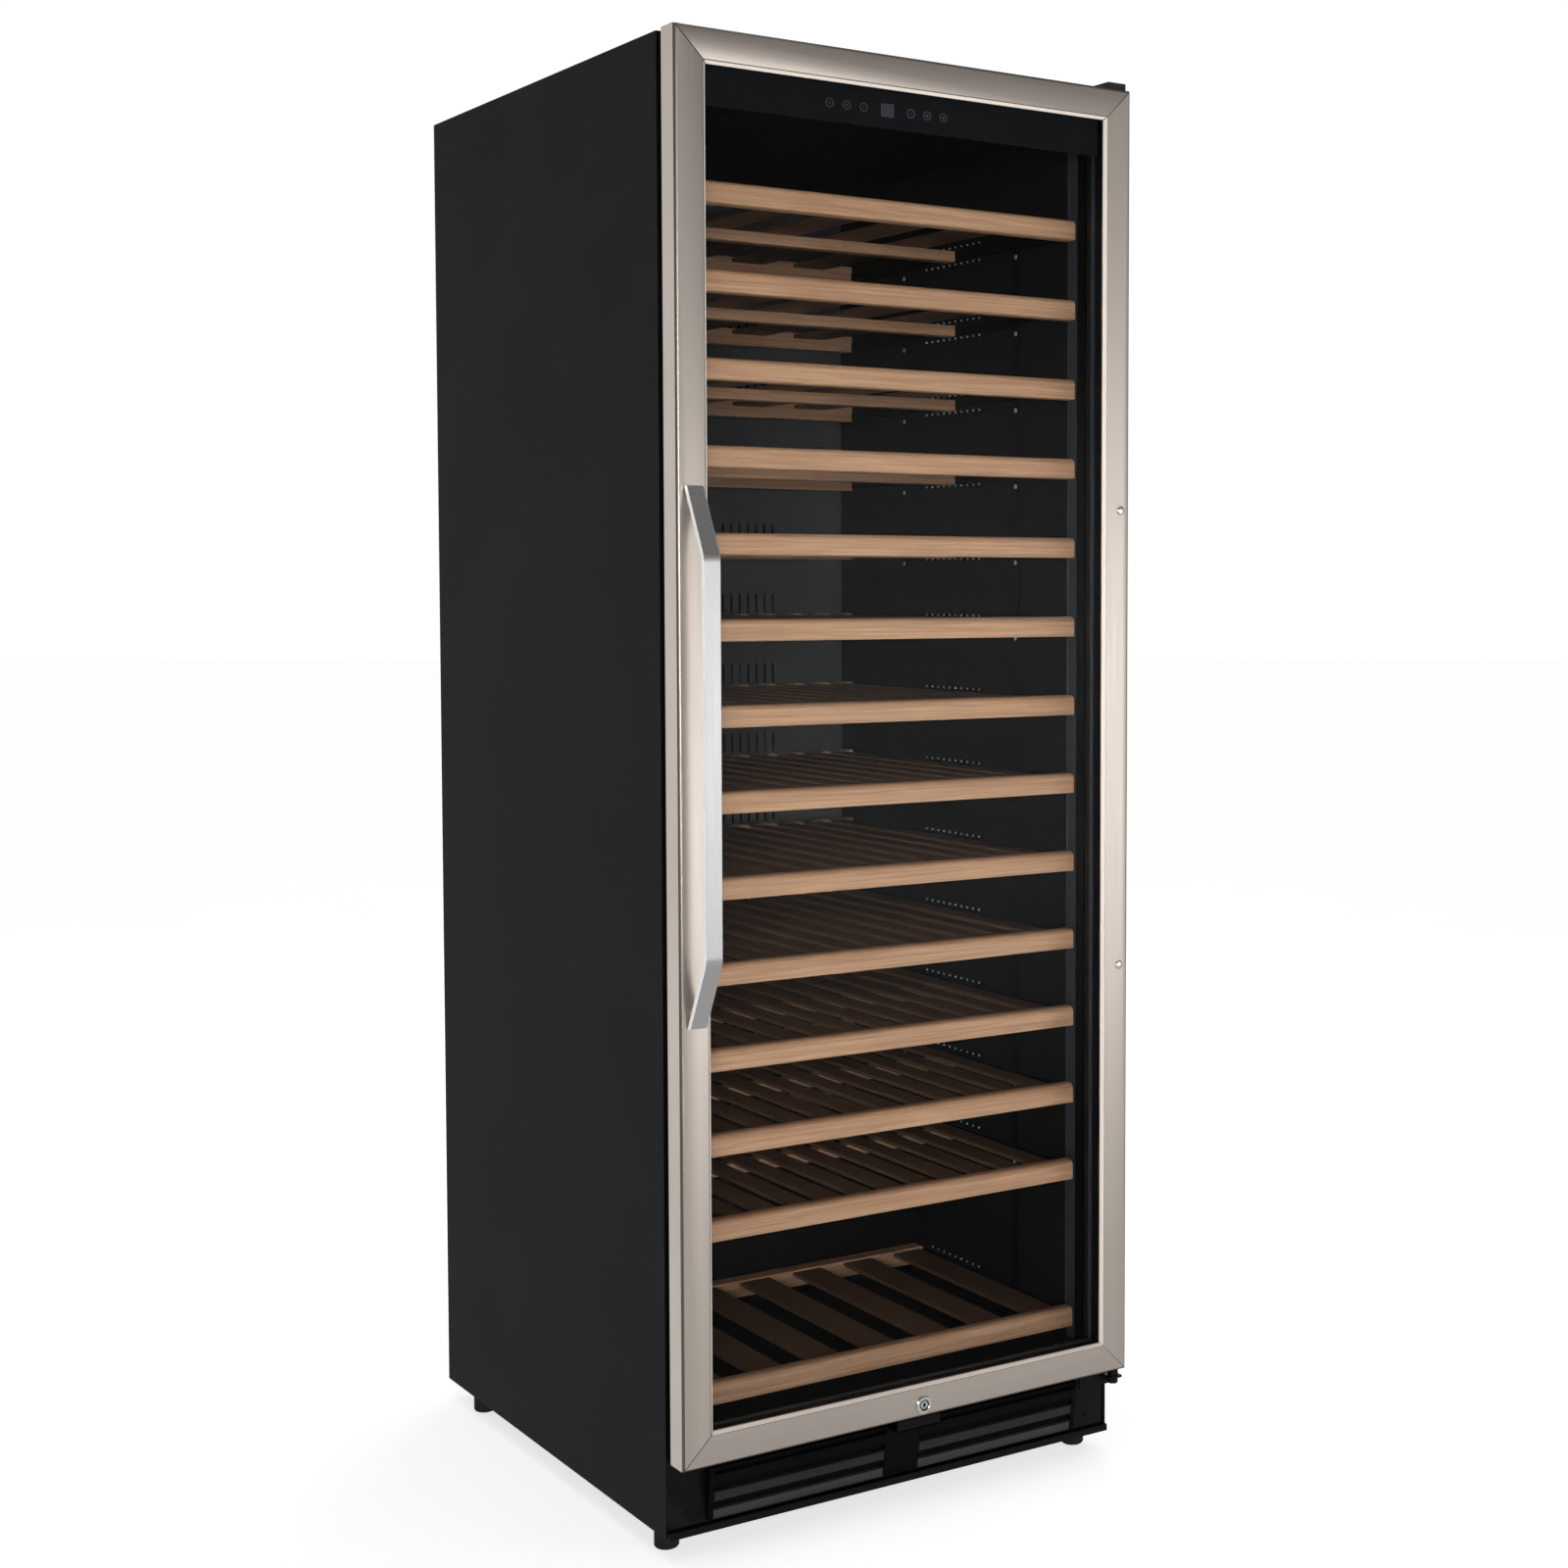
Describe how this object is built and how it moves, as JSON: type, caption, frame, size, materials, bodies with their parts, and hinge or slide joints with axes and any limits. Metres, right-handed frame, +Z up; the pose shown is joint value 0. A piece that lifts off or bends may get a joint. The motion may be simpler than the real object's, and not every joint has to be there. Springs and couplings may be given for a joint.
{
  "type": "wine cooler",
  "caption": "Tall freestanding wine cooler with a framed glass door, bow handle, lock, wooden pull-out shelves and a louvred kick plate.",
  "frame": {"origin": "middle of the bounding box's footprint, on the floor plane under the feet", "axes": "+X across the front towards the hinge side, +Y from the door towards the back, +Z up"},
  "size_m": [0.595, 0.725, 1.655],
  "materials": {
    "black_sheet": "satin",
    "galvanised": "satin",
    "stainless": "satin",
    "handle_aluminium": "satin",
    "aluminium": "satin",
    "chrome": "polished",
    "copper": "satin",
    "tinted_glass": "polished",
    "clear_glass": "polished",
    "dark_plastic": "satin",
    "black_plastic": "satin",
    "liner": "satin",
    "rubber": "matte",
    "foam": "matte",
    "beech": "satin",
    "lamp": "satin"
  },
  "bodies": {
    "cabinet": {"left_side_panel": "black_sheet", "right_side_panel": "black_sheet", "top_panel": "black_sheet", "back_panel": "galvanised", "rear_grille": "black_sheet", "base_pan": "black_sheet", "front_flange": "dark_plastic", "insulation_foam": "foam", "liner_left_wall": "liner", "liner_right_wall": "liner", "liner_ceiling": "liner", "liner_rear_wall": "liner", "liner_floor": "liner", "air_duct_cover": "liner", "evaporator": "aluminium", "compressor": "black_sheet", "condenser": "copper", "cable_gland": "black_plastic", "light_bar": "lamp", "left_slide_rack": "galvanised", "right_slide_rack": "galvanised", "kick_plate": "black_plastic", "top_hinge_bracket": "black_sheet", "bottom_hinge_bracket": "black_sheet"},
    "door": {"door_frame_top": "stainless", "door_frame_bottom": "stainless", "door_frame_left": "stainless", "door_frame_right": "stainless", "outer_glass": "tinted_glass", "inner_glass": "clear_glass", "glass_spacer": "dark_plastic", "inner_door_frame": "dark_plastic", "door_gasket": "rubber", "control_panel": "dark_plastic", "handle": "handle_aluminium", "upper_hole_plug": "chrome", "lower_hole_plug": "chrome", "lock_ring": "chrome"},
    "lock_barrel": {"lock_barrel": "chrome"},
    "circulation_fan": {"circulation_fan": "black_plastic"},
    "condenser_fan": {"condenser_fan": "black_plastic"},
    "foot_front_left": {"foot_front_left": "rubber"},
    "foot_back_left": {"foot_back_left": "rubber"},
    "foot_front_right": {"foot_front_right": "rubber"},
    "foot_back_right": {"foot_back_right": "rubber"},
    "shelf_01": {"shelf_01": "beech"},
    "shelf_02": {"shelf_02": "beech"},
    "shelf_03": {"shelf_03": "beech"},
    "shelf_04": {"shelf_04": "beech"},
    "shelf_05": {"shelf_05": "beech"},
    "shelf_06": {"shelf_06": "beech"},
    "shelf_07": {"shelf_07": "beech"},
    "shelf_08": {"shelf_08": "beech"},
    "shelf_09": {"shelf_09": "beech"},
    "shelf_10": {"shelf_10": "beech"},
    "shelf_11": {"shelf_11": "beech"},
    "shelf_12": {"shelf_12": "beech"},
    "shelf_13": {"shelf_13": "beech"},
    "shelf_14": {"shelf_14": "beech"}
  },
  "joints": [
    {"name": "door_hinge", "type": "hinge", "parent": "cabinet", "child": "door", "pos_m": [0.288, -0.3035, 0.88], "axis": [0, 0, 1], "range_deg": [0, 110]},
    {"name": "lock_turn", "type": "hinge", "parent": "door", "child": "lock_barrel", "pos_m": [0.007, -0.3175, 0.126], "axis": [0, 1, 0], "range_deg": [0, 90]},
    {"name": "circulation_fan_spin", "type": "hinge", "parent": "cabinet", "child": "circulation_fan", "pos_m": [0, 0.2935, 1.48], "axis": [0, 1, 0], "continuous": true},
    {"name": "condenser_fan_spin", "type": "hinge", "parent": "cabinet", "child": "condenser_fan", "pos_m": [-0.131, 0.2605, 0.115], "axis": [1, 0, 0], "continuous": true},
    {"name": "foot_front_left_turn", "type": "hinge", "parent": "cabinet", "child": "foot_front_left", "pos_m": [-0.277, -0.2345, 0.012], "axis": [0, 0, 1], "continuous": true},
    {"name": "foot_back_left_turn", "type": "hinge", "parent": "cabinet", "child": "foot_back_left", "pos_m": [-0.277, 0.2905, 0.012], "axis": [0, 0, 1], "continuous": true},
    {"name": "foot_front_right_turn", "type": "hinge", "parent": "cabinet", "child": "foot_front_right", "pos_m": [0.277, -0.2345, 0.012], "axis": [0, 0, 1], "continuous": true},
    {"name": "foot_back_right_turn", "type": "hinge", "parent": "cabinet", "child": "foot_back_right", "pos_m": [0.277, 0.2905, 0.012], "axis": [0, 0, 1], "continuous": true},
    {"name": "shelf_01_slide", "type": "slide", "parent": "cabinet", "child": "shelf_01", "axis": [0, -1, 0], "range_m": [0, 0.3]},
    {"name": "shelf_02_slide", "type": "slide", "parent": "cabinet", "child": "shelf_02", "axis": [0, -1, 0], "range_m": [0, 0.3]},
    {"name": "shelf_03_slide", "type": "slide", "parent": "cabinet", "child": "shelf_03", "axis": [0, -1, 0], "range_m": [0, 0.3]},
    {"name": "shelf_04_slide", "type": "slide", "parent": "cabinet", "child": "shelf_04", "axis": [0, -1, 0], "range_m": [0, 0.3]},
    {"name": "shelf_05_slide", "type": "slide", "parent": "cabinet", "child": "shelf_05", "axis": [0, -1, 0], "range_m": [0, 0.3]},
    {"name": "shelf_06_slide", "type": "slide", "parent": "cabinet", "child": "shelf_06", "axis": [0, -1, 0], "range_m": [0, 0.3]},
    {"name": "shelf_07_slide", "type": "slide", "parent": "cabinet", "child": "shelf_07", "axis": [0, -1, 0], "range_m": [0, 0.3]},
    {"name": "shelf_08_slide", "type": "slide", "parent": "cabinet", "child": "shelf_08", "axis": [0, -1, 0], "range_m": [0, 0.3]},
    {"name": "shelf_09_slide", "type": "slide", "parent": "cabinet", "child": "shelf_09", "axis": [0, -1, 0], "range_m": [0, 0.3]},
    {"name": "shelf_10_slide", "type": "slide", "parent": "cabinet", "child": "shelf_10", "axis": [0, -1, 0], "range_m": [0, 0.3]},
    {"name": "shelf_11_slide", "type": "slide", "parent": "cabinet", "child": "shelf_11", "axis": [0, -1, 0], "range_m": [0, 0.3]},
    {"name": "shelf_12_slide", "type": "slide", "parent": "cabinet", "child": "shelf_12", "axis": [0, -1, 0], "range_m": [0, 0.3]},
    {"name": "shelf_13_slide", "type": "slide", "parent": "cabinet", "child": "shelf_13", "axis": [0, -1, 0], "range_m": [0, 0.3]},
    {"name": "shelf_14_slide", "type": "slide", "parent": "cabinet", "child": "shelf_14", "axis": [0, -1, 0], "range_m": [0, 0.24]}
  ],
  "couplings": [
    {"joint": "shelf_01_slide", "follows": "door_hinge", "m_per_rad": 0.032},
    {"joint": "shelf_02_slide", "follows": "door_hinge", "m_per_rad": 0.032},
    {"joint": "shelf_03_slide", "follows": "door_hinge", "m_per_rad": 0.032},
    {"joint": "shelf_04_slide", "follows": "door_hinge", "m_per_rad": 0.032},
    {"joint": "shelf_05_slide", "follows": "door_hinge", "m_per_rad": 0.032},
    {"joint": "shelf_06_slide", "follows": "door_hinge", "m_per_rad": 0.032},
    {"joint": "shelf_07_slide", "follows": "door_hinge", "m_per_rad": 0.032},
    {"joint": "shelf_08_slide", "follows": "door_hinge", "m_per_rad": 0.032},
    {"joint": "shelf_09_slide", "follows": "door_hinge", "m_per_rad": 0.032},
    {"joint": "shelf_10_slide", "follows": "door_hinge", "m_per_rad": 0.032},
    {"joint": "shelf_11_slide", "follows": "door_hinge", "m_per_rad": 0.032},
    {"joint": "shelf_12_slide", "follows": "door_hinge", "m_per_rad": 0.032},
    {"joint": "shelf_13_slide", "follows": "door_hinge", "m_per_rad": 0.032},
    {"joint": "shelf_14_slide", "follows": "door_hinge", "m_per_rad": 0.032}
  ]
}
